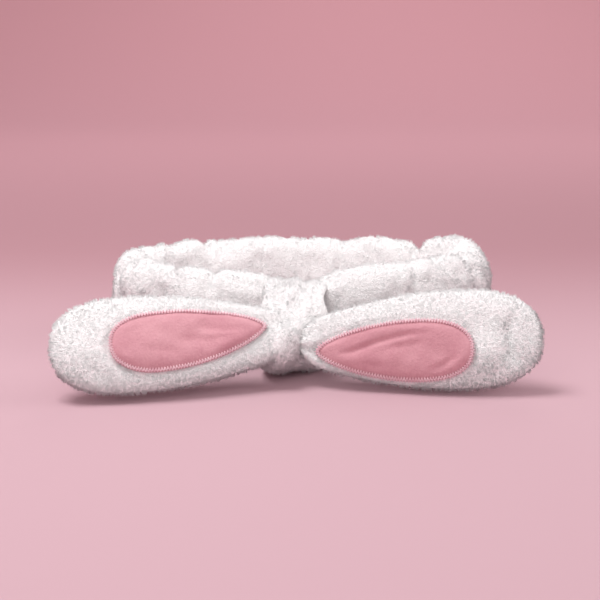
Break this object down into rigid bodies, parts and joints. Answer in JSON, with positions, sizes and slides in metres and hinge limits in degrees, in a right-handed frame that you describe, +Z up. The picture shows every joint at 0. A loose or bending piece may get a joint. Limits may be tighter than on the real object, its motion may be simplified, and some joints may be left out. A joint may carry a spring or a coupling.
{
  "type": "spa headband",
  "caption": "Soft plush stretch headband for holding hair back at the wash basin, with a central knot and two padded rabbit ears lined with pink velour.",
  "frame": {"origin": "centre of the bounding box's base, on the surface that the band lies on", "axes": "+X along the band's length, from the left ear to the right ear; +Y from the knot to the back of the band; +Z up, across the band's width"},
  "size_m": [0.2514, 0.1864, 0.0516],
  "materials": {
    "white_fleece": "short soft plush pile",
    "pink_velour": "smooth velour, slightly wrinkled",
    "pink_thread": "satin sewing thread",
    "white_tape": "woven cotton tape and thread",
    "elastic": "matte woven elastic",
    "wadding": "matte fibre filling"
  },
  "bodies": {
    "band_front": {"front_casing": "white_fleece", "front_elastic": "elastic", "left_side_elastic": "elastic", "right_side_elastic": "elastic", "knot_wrap": "white_fleece", "knot_core": "wadding", "knot_seam": "white_tape"},
    "band_rear": {"rear_casing": "white_fleece", "rear_elastic": "elastic", "elastic_join_stitch": "white_tape"},
    "left_ear_root": {"left_ear_root": "white_fleece"},
    "left_ear": {"left_ear_front_panel": "white_fleece", "left_ear_back_panel": "white_fleece", "left_ear_wadding": "wadding", "left_ear_patch": "pink_velour", "left_ear_patch_stitching": "pink_thread"},
    "right_ear_root": {"right_ear_root": "white_fleece"},
    "right_ear": {"right_ear_front_panel": "white_fleece", "right_ear_back_panel": "white_fleece", "right_ear_wadding": "wadding", "right_ear_patch": "pink_velour", "right_ear_patch_stitching": "pink_thread"}
  },
  "joints": [
    {"name": "band_stretch", "type": "slide", "parent": "band_front", "child": "band_rear", "axis": [0, 1, 0], "range_m": [0, 0.06], "stiffness_N_per_m": 100, "deforming": ["left_side_elastic", "right_side_elastic"]},
    {"name": "left_ear_lift", "type": "hinge", "parent": "band_front", "child": "left_ear_root", "pos_m": [-0.0085, -0.0544, 0.0271], "axis": [0, 1, 0], "range_deg": [-2, 40]},
    {"name": "left_ear_fold", "type": "hinge", "parent": "left_ear_root", "child": "left_ear", "pos_m": [-0.0101, -0.066, 0.027], "axis": [0, 0, 1], "range_deg": [0, 55]},
    {"name": "right_ear_lift", "type": "hinge", "parent": "band_front", "child": "right_ear_root", "pos_m": [0.0073, -0.0545, 0.0219], "axis": [0, -1, 0], "range_deg": [0, 40]},
    {"name": "right_ear_fold", "type": "hinge", "parent": "right_ear_root", "child": "right_ear", "pos_m": [0.0089, -0.0641, 0.022], "axis": [0, 0, -1], "range_deg": [0, 55]}
  ]
}
